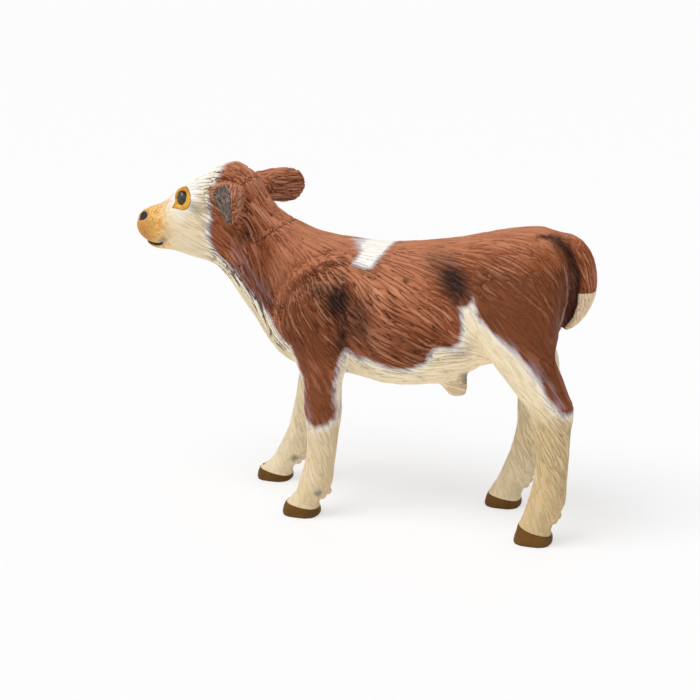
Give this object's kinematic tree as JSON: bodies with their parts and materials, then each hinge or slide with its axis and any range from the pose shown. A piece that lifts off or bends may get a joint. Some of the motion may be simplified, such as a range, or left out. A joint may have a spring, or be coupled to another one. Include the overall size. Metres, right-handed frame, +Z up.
{
  "type": "toy farm animal figure",
  "caption": "Standing calf figure, a solid painted plastic casting with a separate ear and nape insert glued into the neck. It stands on four flat hooves.",
  "frame": {"origin": "on the ground under the middle of the figure's length and width", "axes": "+Z up, -X towards the nose, -Y towards the calf's left side, which the picture shows"},
  "size_m": [0.096, 0.0366, 0.0693],
  "materials": {
    "body_paint": "satin hand-painted PVC, red brown over cream, brown hooves, gloss eyes",
    "ear_paint": "satin hand-painted PVC, red brown, grey brown inside the ears"
  },
  "bodies": {
    "root": {"body_casting": "body_paint", "ear_insert": "ear_paint"}
  },
  "joints": []
}
